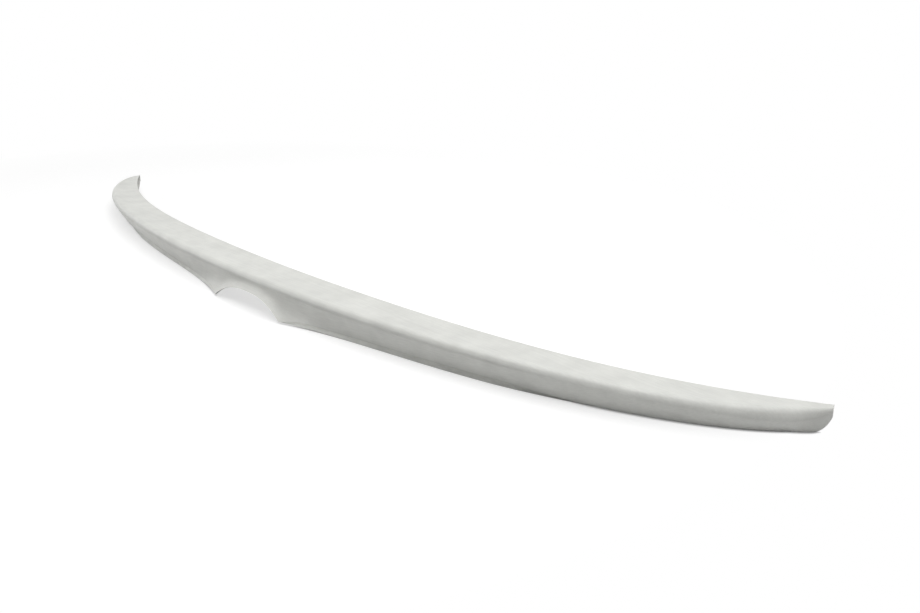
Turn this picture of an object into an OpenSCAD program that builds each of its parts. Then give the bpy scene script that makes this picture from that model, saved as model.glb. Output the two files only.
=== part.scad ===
// Low boot-lid spoiler for a saloon car: one moulded blade with a top face,
// a rolled trailing ridge, a rear skirt and two pointed centre tabs.
// Millimetres. X runs across the car, -Y to the rear, +Z up. The blade rests on
// the foot of its skirt, which is Z = 0, and the tab tips stay just clear of it.

/* [Plan] */
// Half width across the car at the widest point of the ridge curve
half_span = 618.2; // [480:0.1:760]
// How far the ridge would sweep forward at its widest point
ridge_bow = 203.4; // [120:0.1:280]
// Power of the ridge curve, 2 is an ellipse
ridge_power = 2.07; // [1.9:0.01:2.4]
// Angle on the ridge curve at which the blade ends
end_angle = 82.9; // [78:0.1:85]
// Depth of the top face at the middle, front edge to ridge
top_depth = 46.4; // [36:0.1:80]
// How far inside the ridge curve the front corner of each end stays
front_inset = 7.2; // [4:0.1:14]
// Gentle part of the forward sweep of the front edge
front_sweep = 66.4; // [40:0.1:100]
// Power of the gentle part
front_power = 1.79; // [1.5:0.01:2.4]
// Extra sweep that comes in towards the ends
tip_sweep = 72.2; // [40:0.1:100]
// Power of the extra sweep
tip_power = 4.15; // [3:0.01:6]

/* [Heights] */
// Height of the front edge at the middle
front_mid = 38.6; // [28:0.1:60]
// Height of the front edge at the ends
front_end = 24.9; // [18:0.1:40]
// Height of the ridge line at the middle
ridge_mid = 35.7; // [28:0.1:60]
// Height of the ridge line at the ends
ridge_end = 23.4; // [18:0.1:40]

/* [Section] */
// Thickness of the moulded skin
wall = 3.2; // [2.4:0.1:4]
// Thickness of the thinned front edge
front_edge = 2.2; // [1.6:0.1:3]
// Dip of the top face between front edge and ridge
top_dip = 1.2; // [0:0.1:3]
// Radius of the rolled ridge at the middle
ridge_radius = 6; // [3:0.1:8]
// Radius of the rolled ridge towards the ends
ridge_radius_end = 13; // [6:0.1:14]
// Depth of the shallow groove under the ridge
groove_depth = 0.8; // [0.2:0.1:1.4]
// Distance from the ridge centre line to the groove
groove_drop = 5; // [4:0.1:8]
// Half width over which the groove runs before it fades
groove_half = 330; // [150:1:450]
// How far the foot of the skirt sits in front of the ridge at the middle
undercut = 13.4; // [4:0.1:20]
// How far it sits in front of the ridge towards the ends
undercut_end = 17.8; // [6:0.1:20]
// Power of the undercut at the middle, larger curls in lower down
undercut_power = 1.8; // [1.2:0.1:2.4]
// Power of the undercut at the ends, where the skirt is nearly flat
undercut_power_end = 1.15; // [1.1:0.05:2]

/* [Centre tabs] */
// Half distance between the two tab tips
tab_half = 64; // [45:0.1:110]
// How far the tab tips flare out behind the plain skirt
tab_flare = 24; // [8:0.1:28]
// Length over which the flare dies away beyond the tips
flare_run = 60; // [20:1:90]
// Clearance of the tab tips over the floor
tip_lift = 1.8; // [0:0.1:4]
// Length over which the skirt comes down to the floor beyond the tips
tip_run = 90; // [40:1:140]
// Height of the arch between the tabs at the middle
arch_rise = 20.3; // [8:0.1:22]
// Power of the arch curve, larger is flatter on top
arch_power = 2.8; // [2:0.1:5]
// Flare of the arch rim at the middle
arch_flare = 20.2; // [4:0.1:24]

/* [Foot and ends] */
// Height of the set-back foot under the skirt, near the tabs
foot_height = 4.6; // [2:0.1:7]
// Height of that foot towards the ends
foot_height_end = 1.5; // [1:0.1:6]
// Set-back of the foot from the skirt, near the tabs
foot_setback = 1.8; // [0.8:0.1:3]
// Set-back of the foot towards the ends
foot_setback_end = 3.2; // [2:0.1:6]
// Half width at which the foot has reached its end height and set-back
foot_half = 470; // [250:1:540]
// Height of the lower corner of each end face
end_lift = 13.5; // [6:0.1:17]
// Angle on the ridge curve at which the skirt starts to lift
lift_angle = 76.5; // [72:0.1:80]
// Power of that lift, larger is rounder
lift_power = 2.3; // [1.2:0.1:3]

/* [Hidden] */
front_half = half_span - front_inset;
top_steps = 7;
ridge_steps = 6;
skirt_steps = 7;
inner_steps = 5;

function ease(t) = let (k = min(1, max(0, t))) k * k * (3 - 2 * k);
function mix(a, b, t) = a + (b - a) * t;

// Plan curves, the middle of the ridge is at 0, 0
function ridge_plan(a) = [half_span * sin(a),
    ridge_bow * (1 - sqrt(1 - pow(abs(sin(a)), ridge_power)))];
function front_plan(a) = let (w = sin(a) / sin(end_angle)) [front_half * w,
    top_depth + front_sweep * pow(abs(w), front_power) + tip_sweep * pow(abs(w), tip_power)];

// Heights along the blade, along is 0 at the middle and 1 at the ends
function along(a) = abs(sin(a) / sin(end_angle));
function ridge_height(a) = mix(ridge_mid, ridge_end, pow(along(a), 3));
function front_height(a) = mix(front_mid, front_end, pow(along(a), 2));

// Lower edge: arch between the tabs, floor line outside them, lift at the ends
function end_rise(a) = end_lift * pow(max(0, abs(a) - lift_angle) / (end_angle - lift_angle), lift_power);
function edge_height(a) = let (x = abs(half_span * sin(a)))
    x < tab_half ? mix(tip_lift, arch_rise, 1 - pow(x / tab_half, arch_power))
    : tip_lift * (1 - ease((x - tab_half) / tip_run)) + end_rise(a);
function flare(a) = let (x = abs(half_span * sin(a)))
    x < tab_half ? mix(arch_flare, tab_flare, pow(x / tab_half, 1.5))
    : tab_flare * exp(-pow((x - tab_half) / flare_run, 1.1));
// The flare starts high up at the arch and low down at the tips
function flare_power(a) = mix(1.5, 2.6, ease(abs(half_span * sin(a)) / tab_half));
function undercut_curve(a) = mix(undercut_power, undercut_power_end, pow(along(a), 2));

// Foot: next to nothing at the arch and the tabs, and it runs out again where the ends lift
function foot_shown(a) = ease((abs(half_span * sin(a)) - tab_half) / 30)
    * (1 - ease((abs(a) - lift_angle) / (end_angle - lift_angle)));
function foot_out(a) = ease((abs(half_span * sin(a)) - foot_half + 170) / 170);
function foot(a) = mix(0.3, mix(foot_height, foot_height_end, foot_out(a)), foot_shown(a));
function setback(a) = mix(0.3, mix(foot_setback, foot_setback_end, foot_out(a)), foot_shown(a));
function groove(a) = groove_depth * (1 - ease((abs(half_span * sin(a)) - groove_half) / 120));

// Rear face of the skirt in section: s forward from the ridge, t from 0 at the roll to 1 at the edge
function skirt_s(a, t, tuck, r) = -0.25 * r + tuck * pow(t, undercut_curve(a))
    - flare(a) * pow(t, flare_power(a))
    + groove(a) * exp(-pow((t * skirt_drop(a, r) - (groove_drop - 0.75 * r)) / 1.3, 2));
function skirt_drop(a, r) = ridge_height(a) - 0.75 * r - edge_height(a) - foot(a);

// One closed section as [s, z] pairs, going from the front edge over the ridge and back underneath
function section(a) = let (
    c = norm(front_plan(a) - ridge_plan(a)),
    r = min(mix(ridge_radius, ridge_radius_end, pow(along(a), 10)), c * 0.4),
    tuck = min(mix(undercut, undercut_end, pow(along(a), 3)), c * 0.6),
    zr = ridge_height(a),
    zf = front_height(a),
    drop = skirt_drop(a, r),
    w = min(wall, c * 0.4),
    hollow = ease((end_angle - abs(a)) / 1.1),
    zt = zr + 0.25 * r,
    s_edge = skirt_s(a, 1, tuck, r),
    z_edge = edge_height(a),
    sb = setback(a),
    f = foot(a),
    s_in = mix(c - 0.6, w + 0.25 * r, hollow),
    z_in = mix(z_edge + f + 0.3 * w + 0.4, zt - w, hollow),
    z_low = z_edge + f + 0.3 * w)
    [
        for (i = [0 : top_steps])
            let (k = i / top_steps, s = mix(c, 0.75 * r, k))
            [s, mix(zf, zt, k) - top_dip * min(1, c / 40) * 4 * k * (1 - k)],
        for (i = [1 : ridge_steps])
            let (q = 90 + 90 * i / ridge_steps)
            [0.75 * r + r * cos(q), zr - 0.75 * r + r * sin(q)],
        for (i = [1 : skirt_steps])
            let (t = pow(i / skirt_steps, 1.15))
            [skirt_s(a, t, tuck, r), zr - 0.75 * r - drop * t],
        [s_edge + sb, z_edge + f],
        [s_edge + sb + 0.2, z_edge],
        [s_edge + sb + w * 0.9, z_edge],
        [mix(s_edge + sb + w * 0.9, s_edge + sb + w * 0.85, hollow), z_edge + f + 0.3 * w],
        for (i = [inner_steps - 1 : -1 : 1])
            let (tt = i / inner_steps)
            [mix(s_edge + sb + w * 0.9, skirt_s(a, tt, tuck, r) + w, hollow), mix(z_in, z_low, tt)],
        [s_in, z_in],
        for (i = [1 : 3])
            let (k = i / 4, s = mix(s_in, c, k))
            [s, mix(z_in, zf - mix(zf - z_in - 0.2, front_edge, hollow), k)]
    ];

function place(a, p) = let (
    r0 = ridge_plan(a),
    n = (front_plan(a) - r0) / norm(front_plan(a) - r0))
    [r0[0] + n[0] * p[0], r0[1] + n[1] * p[0], p[1]];

// Stations from the middle out to one end: close together round the tabs and at the lifted end
function at_x(x) = asin(x / half_span);
calm = at_x(tab_half + 2.4 * flare_run);
half_stations = concat(
    [for (i = [0 : 12]) at_x(tab_half * i / 12)],
    [for (i = [1 : 14]) at_x(tab_half + 2.4 * flare_run * pow(i / 14, 1.3))],
    [for (i = [1 : 22]) mix(calm, lift_angle - 5, i / 22)],
    [for (i = [1 : 4]) mix(lift_angle - 5, lift_angle, i / 4)],
    [for (i = [1 : 7]) mix(lift_angle, end_angle, i / 7)]);
count = len(half_stations);
stations = concat(
    [for (i = [count - 1 : -1 : 1]) -half_stations[i]],
    half_stations);
rings = [for (a = stations) [for (p = section(a)) place(a, p)]];
depths = [for (ring = rings) for (p = ring) p[1]];
mid_y = (min(depths) + max(depths)) / 2;

module spoiler() {
    m = len(rings[0]);
    last = len(rings) - 1;
    color([0.84, 0.845, 0.82])
    translate([0, -mid_y, 0])
    polyhedron(
        points = [for (ring = rings) each ring],
        faces = concat(
            [[for (j = [0 : m - 1]) j]],
            [[for (j = [m - 1 : -1 : 0]) last * m + j]],
            [for (i = [0 : last - 1], j = [0 : m - 1])
                [i * m + j, (i + 1) * m + j, (i + 1) * m + (j + 1) % m]],
            [for (i = [0 : last - 1], j = [0 : m - 1])
                [i * m + j, (i + 1) * m + (j + 1) % m, i * m + (j + 1) % m]]),
        convexity = 8);
}

spoiler();
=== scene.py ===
"""Boot-lid spoiler in light grey primer, lying on a white studio floor.

The blade's lengths are millimetres, as in the part's own drawing, and its mesh is built in metres.
X runs across the car, -Y to the rear, +Z up. The blade is a loft through sections that stand on
the ridge curve, each at an angle in degrees: 0 at the middle, END_ANGLE at the right end.
"""
import math

import bmesh
import bpy
from mathutils import Matrix, Vector


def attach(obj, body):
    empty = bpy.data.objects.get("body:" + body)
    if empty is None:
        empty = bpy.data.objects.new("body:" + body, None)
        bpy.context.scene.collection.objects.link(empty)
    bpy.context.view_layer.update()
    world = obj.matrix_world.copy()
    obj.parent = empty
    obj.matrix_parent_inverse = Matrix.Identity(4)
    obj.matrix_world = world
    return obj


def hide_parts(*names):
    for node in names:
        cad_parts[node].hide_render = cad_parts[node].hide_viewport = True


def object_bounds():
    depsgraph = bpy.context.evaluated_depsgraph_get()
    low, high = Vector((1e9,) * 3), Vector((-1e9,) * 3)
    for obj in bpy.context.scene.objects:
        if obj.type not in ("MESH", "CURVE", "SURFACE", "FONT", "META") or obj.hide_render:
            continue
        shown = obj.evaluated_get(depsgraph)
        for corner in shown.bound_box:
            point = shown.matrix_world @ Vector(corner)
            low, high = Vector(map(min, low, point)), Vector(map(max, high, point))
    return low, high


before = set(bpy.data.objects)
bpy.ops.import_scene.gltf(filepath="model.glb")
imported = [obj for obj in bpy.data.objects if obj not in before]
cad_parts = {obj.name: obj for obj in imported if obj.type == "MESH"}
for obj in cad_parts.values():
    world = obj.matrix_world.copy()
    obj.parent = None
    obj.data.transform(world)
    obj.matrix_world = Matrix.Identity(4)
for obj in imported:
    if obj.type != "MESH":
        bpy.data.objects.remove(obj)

CAD_BOX = [list(corner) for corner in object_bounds()]

# Plan: the ridge curve, and the front edge ahead of it
HALF_SPAN = 618.2
RIDGE_BOW, RIDGE_POWER = 203.4, 2.07
END_ANGLE = 82.9
TOP_DEPTH = 46.4
FRONT_INSET = 7.2
FRONT_SWEEP, FRONT_POWER = 66.4, 1.79
TIP_SWEEP, TIP_POWER = 72.2, 4.15

# Sizes that change along the blade: at the middle, at the ends, and the power of the change
FRONT_HEIGHT = (38.6, 24.9, 2)
RIDGE_HEIGHT = (35.7, 23.4, 3)
RIDGE_RADIUS = (6.0, 13.0, 10)
UNDERCUT = (13.4, 17.8, 3)
UNDERCUT_CURL = (1.5, 1.15, 2)

# Skin: the thickness of the wall and of the thinned front edge
WALL, FRONT_EDGE = 3.2, 2.2

# Dip of the top face, which is full where that face is at least DIP_CHORD deep
TOP_DIP, DIP_CHORD = 1.2, 40.0

# Groove in the skirt, GROOVE_DROP below the ridge line
GROOVE_DEPTH, GROOVE_DROP, GROOVE_WIDTH = 0.8, 5.0, 1.3
GROOVE_HALF, GROOVE_FADE = 330.0, 120.0

# Centre of the rolled ridge: ahead of the ridge line and under it, in radii
ROLL_CENTRE = 0.75

# Largest radius, undercut and wall, as shares of the top face's depth where the blade is narrow
RADIUS_SHARE, UNDERCUT_SHARE, WALL_SHARE = 0.4, 0.6, 0.4

# Centre tabs and the arch between them
TAB_HALF, TAB_FLARE = 64.0, 24.0
FLARE_RUN, FLARE_POWER = 60.0, 1.1
TIP_LIFT, TIP_RUN = 1.8, 90.0
ARCH_RISE, ARCH_POWER = 20.3, 2.8
ARCH_FLARE, ARCH_FLARE_POWER = 20.2, 1.5
ARCH_CURL, TAB_CURL = 2.0, 2.6

# Foot: height, set-back and outward lean, where it has run out, near the tabs, and far from them
FOOT_OUT = (0.3, 0.3, -0.2)
FOOT_NEAR = (4.6, 1.2, 1.5)
FOOT_FAR = (1.5, 3.2, -0.2)

# It comes in over FOOT_START beyond the tips, and turns from near to far over FOOT_RUN
FOOT_START = 30.0
FOOT_HALF, FOOT_RUN = 450.0, 120.0

# Inner side of the foot, in walls: how far in at the floor and at its top, and the top's rise
INNER_FOOT, INNER_TOP, INNER_RISE = 0.9, 0.85, 0.3

# Ends: the lift of the skirt, and the angle over which an end wall closes the hollow
END_LIFT, LIFT_ANGLE, LIFT_POWER = 13.5, 76.5, 2.3
END_WALL_ANGLE = 1.1

# Filled underside in an end wall: its corner behind the front edge, its rise, and the last rise
FILL_SETBACK, FILL_RISE, FILL_LAST_RISE = 0.6, 0.4, 0.2

# Steps round a section: top face, ridge, skirt, inside of the skirt, underside of the top face
TOP_STEPS, RIDGE_STEPS, SKIRT_STEPS, INNER_STEPS, UNDER_STEPS = 24, 14, 30, 12, 10

# Power that crowds the steps of the skirt towards the ridge
SKIRT_CROWDING = 1.15

# Steps from the middle to an end: the arch, the flare beyond the tips, the plain run, the end
ARCH_STATIONS, FLARE_STATIONS, PLAIN_STATIONS, END_STATIONS = 36, 40, 80, 30

# Close stations reach this many flare runs beyond the tips, and start this angle before the lift
FLARE_RUNS, FLARE_CROWDING = 2.4, 1.3
END_LEAD_ANGLE = 5

# Edges that turn by more degrees than this are shaded sharp
SHARP_ANGLE = 32

# Primer: linear colour, and the share of it in the darkest and in the palest mottle
PRIMER = (0.720, 0.725, 0.690)
PRIMER_DARKEST, PRIMER_PALEST = 0.90, 1.08
PRIMER_ROUGHNESS, PRIMER_SPECULAR = 0.45, 0.35

# Mottle and sanding marks, and the span of their mixed noise between darkest and palest
MOTTLE_SCALE, MOTTLE_DETAIL = 42, 5
MARKS_STRETCH = (6, 220, 220)
MARKS_SCALE, MARKS_DETAIL = 3, 3
MARKS_SHARE = 0.4
TONE_FROM, TONE_TO = 0.3, 0.7
BUMP_STRENGTH, BUMP_DISTANCE = 0.03, 0.001

# Painted light on the face of the foot: how much paler it is, and the half widths over which that
# comes and goes
FOOT_PAINTED_LIGHT, PALER_START = 0.25, 20.0
PALER_HALF, PALER_FADE = 340.0, 60.0

# Lamps, metres and watts: size, place and power
LAMPS = {
    "overhead": ((2.6, 2.2), (0.35, 0.1, 1.9), 49),
    "left fill": ((2.0, 1.2), (-2.2, -0.9, 0.45), 13),
    "rear fill": ((1.8, 0.9), (0.6, -1.8, 0.6), 2),
}
SURROUND = 0.04

# Floor, metres: its white for the light, and for the camera its diffuse share and its glow
FLOOR_SIZE, FLOOR_DROP = 24, 0.0004
FLOOR_LIT, FLOOR_SHOWN, FLOOR_GLOW = 0.7, 0.5, 0.6

# Painted contact shadow: the glow and the pure white darken within CONTACT metres of the blade
CONTACT = 0.0025

# Between these distances in metres from FADE_CENTRE the floor turns pure white. The centre lies
# left of the middle, so this painted light also thins the blade's soft shadow round the right end
FADE_CENTRE = (-0.22, -0.05, 0.0)
FADE_FROM, FADE_TO = 0.62, 0.82

# Camera, millimetres and degrees, solved from the photograph
CAMERA_LENS_PX = 1050.0
CAMERA_AIM = (161.4, 85.2, 0.0)
CAMERA_DISTANCE = 1205.0
CAMERA_AZIMUTH, CAMERA_PITCH, CAMERA_ROLL = 45.996, 19.79, 0.215
CAMERA_NEAR, CAMERA_FAR = 50.0, 60000.0
PHOTO_WIDTH, SENSOR = 920, 36.0

# Millimetres in a metre
METRE = 1000


def ease(t):
    """Smooth step from 0 to 1."""
    t = min(1.0, max(0.0, t))
    return t * t * (3 - 2 * t)


def mix(a, b, t):
    return a + (b - a) * t


def steps(count, first=0):
    """Even shares from 0 to 1, beginning with the step numbered first."""
    return [i / count for i in range(first, count + 1)]


def span(a):
    """Distance from the middle, across the car, of the ridge at angle a."""
    return abs(HALF_SPAN * math.sin(math.radians(a)))


def ridge_plan(a):
    s = math.sin(math.radians(a))
    return Vector((HALF_SPAN * s, RIDGE_BOW * (1 - math.sqrt(1 - abs(s) ** RIDGE_POWER))))


def front_plan(a):
    w = math.sin(math.radians(a)) / math.sin(math.radians(END_ANGLE))
    sweep = FRONT_SWEEP * abs(w) ** FRONT_POWER + TIP_SWEEP * abs(w) ** TIP_POWER
    return Vector(((HALF_SPAN - FRONT_INSET) * w, TOP_DEPTH + sweep))


def changing(size, a):
    """A size that goes from its value at the middle to its value at the ends."""
    middle, end, power = size
    along = abs(math.sin(math.radians(a)) / math.sin(math.radians(END_ANGLE)))
    return mix(middle, end, along ** power)


def lifted(a):
    """0 along the blade, rising to 1 over the last degrees of each end."""
    return max(0.0, abs(a) - LIFT_ANGLE) / (END_ANGLE - LIFT_ANGLE)


def edge_height(a):
    """Lower edge of the skirt: arch, floor line, then the lift at the ends."""
    x = span(a)
    if x < TAB_HALF:
        return mix(TIP_LIFT, ARCH_RISE, 1 - (x / TAB_HALF) ** ARCH_POWER)
    return TIP_LIFT * (1 - ease((x - TAB_HALF) / TIP_RUN)) + END_LIFT * lifted(a) ** LIFT_POWER


def flare(a):
    """How far the lower edge stands out behind the plain skirt."""
    x = span(a)
    if x < TAB_HALF:
        return mix(ARCH_FLARE, TAB_FLARE, (x / TAB_HALF) ** ARCH_FLARE_POWER)
    return TAB_FLARE * math.exp(-(((x - TAB_HALF) / FLARE_RUN) ** FLARE_POWER))


def foot(a):
    """Height, set-back and outward lean of the foot, which runs out at the tabs and the ends."""
    shown = ease((span(a) - TAB_HALF) / FOOT_START) * (1 - ease(lifted(a)))
    distance = ease((span(a) - FOOT_HALF + FOOT_RUN) / FOOT_RUN)
    return [mix(out, mix(painted_contact_shade, far, distance), shown)
            for out, painted_contact_shade, far in zip(FOOT_OUT, FOOT_NEAR, FOOT_FAR)]


def paler(a):
    """Share of the painted light on the foot: 1 along the face of the foot from the tabs out to
    PALER_HALF, 0 elsewhere.
    """
    start = ease((span(a) - TAB_HALF) / PALER_START)
    return start * (1 - ease((span(a) - PALER_HALF) / PALER_FADE))


def groove(a):
    return GROOVE_DEPTH * (1 - ease((span(a) - GROOVE_HALF) / GROOVE_FADE))


def top_face(chord, front_z, roll, top_z):
    """From the front edge back to the roll, with a shallow dip."""
    dip = TOP_DIP * min(1.0, chord / DIP_CHORD)
    return [(mix(chord, roll, k), mix(front_z, top_z, k) - dip * 4 * k * (1 - k))
            for k in steps(TOP_STEPS)]


def rolled_ridge(roll, roll_z, radius):
    """A quarter turn from the top face to the skirt."""
    turned = [math.radians(mix(90, 180, k)) for k in steps(RIDGE_STEPS, 1)]
    return [(roll + radius * math.cos(q), roll_z + radius * math.sin(q)) for q in turned]


def skirt_curve(a, chord, radius, drop):
    """The skirt's place ahead of the ridge, as a function of t: 0 at the roll, 1 at the foot."""
    start = (ROLL_CENTRE - 1) * radius
    groove_drop = GROOVE_DROP - ROLL_CENTRE * radius
    tuck = min(changing(UNDERCUT, a), chord * UNDERCUT_SHARE)
    curl = changing(UNDERCUT_CURL, a)
    flare_curl = mix(ARCH_CURL, TAB_CURL, ease(span(a) / TAB_HALF))

    def place(t):
        dip = groove(a) * math.exp(-((t * drop - groove_drop) / GROOVE_WIDTH) ** 2)
        return start + tuck * t ** curl - flare(a) * t ** flare_curl + dip

    return place


def skirt_face(skirt, roll_z, rim_z):
    """From the roll down to the rim over the foot."""
    return [(skirt(t), mix(roll_z, rim_z, t))
            for t in (k ** SKIRT_CROWDING for k in steps(SKIRT_STEPS, 1))]


def inner_side(a, chord, wall, skirt, foot_s, foot_top, roof_s, roof_z, front_z):
    """Up the inside of the foot and the skirt, then forward under the top face.

    The hollow is open along the blade, and the end walls fill it down to the top of the foot.
    """
    hollow = ease((END_ANGLE - abs(a)) / END_WALL_ANGLE)
    inner_s = mix(chord - FILL_SETBACK, roof_s, hollow)
    inner_z = mix(foot_top + FILL_RISE, roof_z, hollow)
    under_z = mix(inner_z + FILL_LAST_RISE, front_z - FRONT_EDGE, hollow)
    side = [(foot_s + wall * mix(INNER_FOOT, INNER_TOP, hollow), foot_top)]
    side += [(mix(foot_s + wall * INNER_FOOT, skirt(k) + wall, hollow), mix(inner_z, foot_top, k))
             for k in steps(INNER_STEPS)[-2:0:-1]]
    side += [(mix(inner_s, chord, k), mix(inner_z, under_z, k)) for k in steps(UNDER_STEPS)[:-1]]
    return side


def section(a):
    """The closed outline at angle a as (forward of the ridge, height) pairs."""
    chord = (front_plan(a) - ridge_plan(a)).length
    wall = min(WALL, chord * WALL_SHARE)
    radius = min(changing(RIDGE_RADIUS, a), chord * RADIUS_SHARE)
    roll = ROLL_CENTRE * radius
    roll_z = changing(RIDGE_HEIGHT, a) - roll
    top_z = roll_z + radius
    front_z = changing(FRONT_HEIGHT, a)
    edge_z = edge_height(a)
    rise, back, lean = foot(a)
    rim_z = edge_z + rise
    skirt = skirt_curve(a, chord, radius, roll_z - rim_z)
    foot_s = skirt(1) + back

    outline = top_face(chord, front_z, roll, top_z)
    outline += rolled_ridge(roll, roll_z, radius)
    outline += skirt_face(skirt, roll_z, rim_z)
    outline.append((foot_s, rim_z))
    outline.append((foot_s - lean, edge_z))
    outline.append((foot_s + wall * INNER_FOOT, edge_z))
    outline += inner_side(a, chord, wall, skirt, foot_s, rim_z + INNER_RISE * wall,
                          wall + radius - roll, top_z - wall, front_z)
    return outline


def stations():
    """Angles from one end to the other, close together round the tabs and at the ends."""
    def at(x):
        return math.degrees(math.asin(x / HALF_SPAN))

    calm = TAB_HALF + FLARE_RUNS * FLARE_RUN
    end_start = LIFT_ANGLE - END_LEAD_ANGLE
    half = [at(TAB_HALF * k) for k in steps(ARCH_STATIONS)]
    half += [at(mix(TAB_HALF, calm, k ** FLARE_CROWDING)) for k in steps(FLARE_STATIONS, 1)]
    half += [mix(at(calm), end_start, k) for k in steps(PLAIN_STATIONS, 1)]
    half += [mix(end_start, END_ANGLE, k) for k in steps(END_STATIONS, 1)]
    return [-a for a in reversed(half[1:])] + half


def placed_sections():
    """Every section stood on the ridge curve, as (x, y, z) millimetres."""
    placed = []
    for a in stations():
        ridge = ridge_plan(a)
        forward = (front_plan(a) - ridge).normalized()
        placed.append([(*(ridge + forward * s), z) for s, z in section(a)])
    return placed


def blade_mesh():
    """Lofts the sections into one closed mesh, with its front corners on those of the CAD solid."""
    rings = placed_sections()
    shift = CAD_BOX[1][1] - max(y for ring in rings for x, y, z in ring) / METRE
    bm = bmesh.new()
    verts = [[bm.verts.new((x / METRE, y / METRE + shift, z / METRE)) for x, y, z in ring]
             for ring in rings]
    count = len(rings[0])
    for left, right in zip(verts, verts[1:]):
        for j in range(count):
            k = (j + 1) % count
            bm.faces.new((left[j], left[k], right[k], right[j]))
    caps = [bm.faces.new(verts[0][::-1]), bm.faces.new(verts[-1])]
    bmesh.ops.triangulate(bm, faces=caps)
    shade_smooth(bm)
    mesh = bpy.data.meshes.new("blade")
    bm.to_mesh(mesh)
    bm.free()
    mark_painted_foot_light(mesh, count)
    return mesh


def shade_smooth(bm):
    """Smooth all over, apart from the edges that turn sharply."""
    bm.normal_update()
    for face in bm.faces:
        face.smooth = True
    for edge in bm.edges:
        edge.smooth = edge.calc_face_angle(0) < math.radians(SHARP_ANGLE)


def mark_painted_foot_light(mesh, count):
    """Stores the painted light on the face of the foot, how pale it is, on the two rows of vertices
    that bound it.
    """
    painted_foot_light = mesh.attributes.new("painted_foot_light", "FLOAT", "POINT")
    top_row = TOP_STEPS + 1 + RIDGE_STEPS + SKIRT_STEPS
    for i, a in enumerate(stations()):
        for j in (top_row, top_row + 1):
            painted_foot_light.data[i * count + j].value = paler(a)


def grey(value):
    return (value, value, value, 1)


def add_node(tree, kind, values=None, links=None, operation=None):
    """A new shader node. Its inputs take constants from values and sockets from links."""
    node = tree.nodes.new("ShaderNode" + kind)
    if operation:
        node.operation = operation
    for name, value in (values or {}).items():
        node.inputs[name].default_value = value
    for name, socket in (links or {}).items():
        tree.links.new(socket, node.inputs[name])
    return node


def noise(tree, where, scale, detail):
    node = add_node(tree, "TexNoise", {"Scale": scale, "Detail": detail}, {"Vector": where})
    return node.outputs["Fac"]


def primer_tone(tree, mottle, marks):
    """Colour of the primer: darkest to palest with the noise, and paler on the face of the foot
    with painted light.
    """
    both = add_node(tree, "Mix", {"Factor": MARKS_SHARE}, {"A": mottle, "B": marks})
    tone = add_node(tree, "ValToRGB", links={"Fac": both.outputs["Result"]})
    ends = ((TONE_FROM, PRIMER_DARKEST), (TONE_TO, PRIMER_PALEST))
    for stop, (position, share) in zip(tone.color_ramp.elements, ends):
        stop.position = position
        stop.color = (*[c * share for c in PRIMER], 1)
    painted_foot_light = add_node(tree, "Attribute")
    painted_foot_light.attribute_name = "painted_foot_light"
    fac = painted_foot_light.outputs["Fac"]
    # Painted light: the face of the foot is made paler than the rest of the primer
    gain = add_node(tree, "Math", {1: FOOT_PAINTED_LIGHT, 2: 1}, {0: fac}, "MULTIPLY_ADD").outputs["Value"]
    tone_with_painted_light = add_node(tree, "VectorMath", {}, {0: tone.outputs["Color"], "Scale": gain}, "SCALE")
    return tone_with_painted_light.outputs["Vector"]


def primer_material():
    """Light grey primer with a faint mottle and fine sanding marks along the blade."""
    mat = bpy.data.materials.new("primer")
    mat.use_nodes = True
    tree = mat.node_tree
    where = add_node(tree, "TexCoord").outputs["Object"]
    stretch = add_node(tree, "Mapping", {"Scale": MARKS_STRETCH}, {"Vector": where})
    mottle = noise(tree, where, MOTTLE_SCALE, MOTTLE_DETAIL)
    marks = noise(tree, stretch.outputs["Vector"], MARKS_SCALE, MARKS_DETAIL)
    bump = add_node(tree, "Bump", {"Strength": BUMP_STRENGTH, "Distance": BUMP_DISTANCE},
                    {"Height": marks})
    shader = tree.nodes["Principled BSDF"]
    shader.inputs["Roughness"].default_value = PRIMER_ROUGHNESS
    shader.inputs["Specular IOR Level"].default_value = PRIMER_SPECULAR
    tree.links.new(primer_tone(tree, mottle, marks), shader.inputs["Base Color"])
    tree.links.new(bump.outputs["Normal"], shader.inputs["Normal"])
    return mat


def shown_floor(tree):
    """The floor as the camera sees it: white with a soft shadow, partly from the lamps and partly a
    painted contact shadow next to the blade, and pure white far off.
    """
    lit = add_node(tree, "BsdfDiffuse", {"Color": grey(FLOOR_SHOWN)}).outputs["BSDF"]
    # Painted contact shadow: ambient occlusion darkens the glow and the pure white next to the
    # blade
    painted_contact_shade = add_node(tree, "AmbientOcclusion", {"Color": grey(FLOOR_GLOW), "Distance": CONTACT})
    glow = add_node(tree, "Emission", links={"Color": painted_contact_shade.outputs["Color"]}).outputs["Emission"]
    shadowed = add_node(tree, "AddShader", links={0: lit, 1: glow}).outputs["Shader"]
    white = add_node(tree, "Emission", links={"Strength": painted_contact_shade.outputs["AO"]}).outputs["Emission"]

    where = add_node(tree, "TexCoord").outputs["Object"]
    # Painted light: the fade to pure white also thins the blade's shadow round the right end
    away = add_node(tree, "VectorMath", {1: FADE_CENTRE}, {0: where}, "DISTANCE").outputs["Value"]
    fade = add_node(tree, "MapRange", {"From Min": FADE_FROM, "From Max": FADE_TO}, {"Value": away})
    return mixed(tree, fade.outputs["Result"], shadowed, white)


def mixed(tree, share, first, second):
    """The first shader, or the second where the share is 1."""
    return add_node(tree, "MixShader", links={"Fac": share, 1: first, 2: second}).outputs["Shader"]


def split_by_ray(tree, light, shown):
    """One shader for the light on the object, the other for the camera and for reflections."""
    rays = add_node(tree, "LightPath")
    either = {0: rays.outputs["Is Camera Ray"], 1: rays.outputs["Is Glossy Ray"]}
    seen = add_node(tree, "Math", links=either, operation="MAXIMUM")
    return mixed(tree, seen.outputs["Value"], light, shown)


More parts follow.
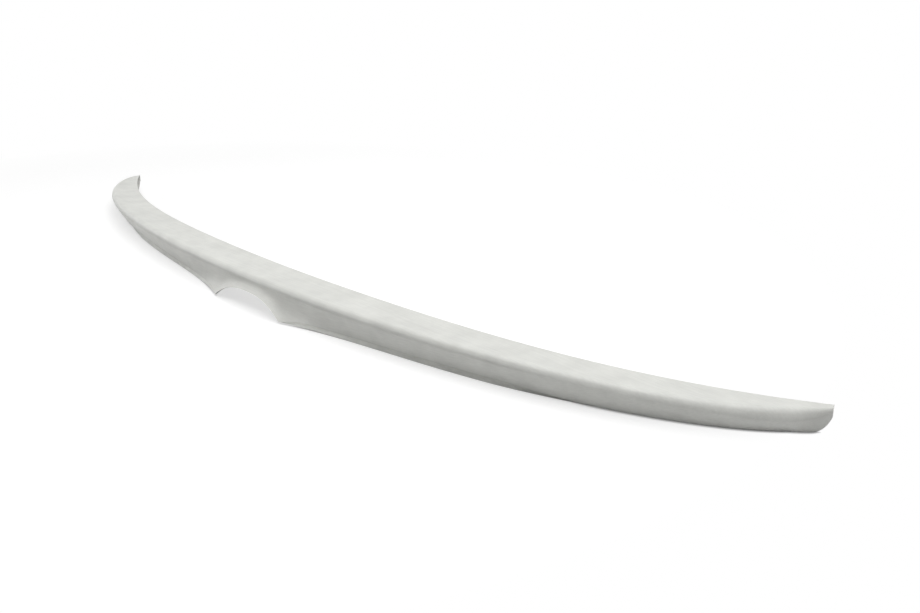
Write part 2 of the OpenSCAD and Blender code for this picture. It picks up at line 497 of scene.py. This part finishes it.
def floor_material():
    mat = bpy.data.materials.new("studio floor")
    mat.use_nodes = True
    tree = mat.node_tree
    tree.nodes.remove(tree.nodes["Principled BSDF"])
    plain = add_node(tree, "BsdfDiffuse", {"Color": grey(FLOOR_LIT)}).outputs["BSDF"]
    surface = split_by_ray(tree, plain, shown_floor(tree))
    tree.links.new(surface, tree.nodes["Material Output"].inputs["Surface"])
    return mat


def surround():
    """A dim world for the light on the object, and a white one for the camera and reflections."""
    world = bpy.data.worlds.new("surround")
    world.use_nodes = True
    tree = world.node_tree
    dim = tree.nodes["Background"]
    dim.inputs["Color"].default_value = grey(1)
    dim.inputs["Strength"].default_value = SURROUND
    white = add_node(tree, "Background", {"Color": grey(1)})
    surface = split_by_ray(tree, dim.outputs["Background"], white.outputs["Background"])
    tree.links.new(surface, tree.nodes["World Output"].inputs["Surface"])
    bpy.context.scene.world = world


def soft_box(name, size, place, power):
    """A rectangular lamp at place, turned to the middle of the part."""
    light = bpy.data.lights.new(name, "AREA")
    light.shape = "RECTANGLE"
    light.size, light.size_y = size
    light.energy = power
    lamp = bpy.data.objects.new(name, light)
    lamp.location = place
    lamp.rotation_euler = (-Vector(place)).to_track_quat("-Z", "Y").to_euler()
    bpy.context.scene.collection.objects.link(lamp)


def studio():
    """Floor, a broad soft box overhead, low ones on the left and behind, and a dim surround."""
    bpy.ops.mesh.primitive_plane_add(size=FLOOR_SIZE, location=(0, 0, -FLOOR_DROP))
    floor = bpy.context.object
    floor.name = "floor"
    floor.data.materials.append(floor_material())
    for name, (size, place, power) in LAMPS.items():
        soft_box(name, size, place, power)
    surround()


def photo_camera():
    """The photograph's viewpoint: low, from the right rear."""
    data = bpy.data.cameras.new("camera")
    data.lens = CAMERA_LENS_PX * SENSOR / PHOTO_WIDTH
    data.sensor_width = SENSOR
    data.clip_start, data.clip_end = CAMERA_NEAR / METRE, CAMERA_FAR / METRE
    azimuth, pitch, roll = map(math.radians, (CAMERA_AZIMUTH, CAMERA_PITCH, CAMERA_ROLL))
    back = Vector((math.sin(azimuth) * math.cos(pitch), -math.cos(azimuth) * math.cos(pitch),
                   math.sin(pitch)))
    right = Vector((math.cos(azimuth), math.sin(azimuth), 0))
    up = back.cross(right)
    turned_right = right * math.cos(roll) + up * math.sin(roll)
    turned_up = up * math.cos(roll) - right * math.sin(roll)
    turned = Matrix((turned_right, turned_up, back)).transposed().to_4x4()
    eye = (Vector(CAMERA_AIM) + CAMERA_DISTANCE * back) / METRE
    camera = bpy.data.objects.new("camera", data)
    camera.matrix_world = Matrix.Translation(eye) @ turned
    bpy.context.scene.collection.objects.link(camera)
    bpy.context.scene.camera = camera


blade = bpy.data.objects.new("blade", blade_mesh())
blade.data.materials.append(primer_material())
bpy.context.scene.collection.objects.link(blade)
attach(blade, "root")
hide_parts("spoiler")

studio()
photo_camera()
bpy.context.scene.view_settings.view_transform = "Standard"
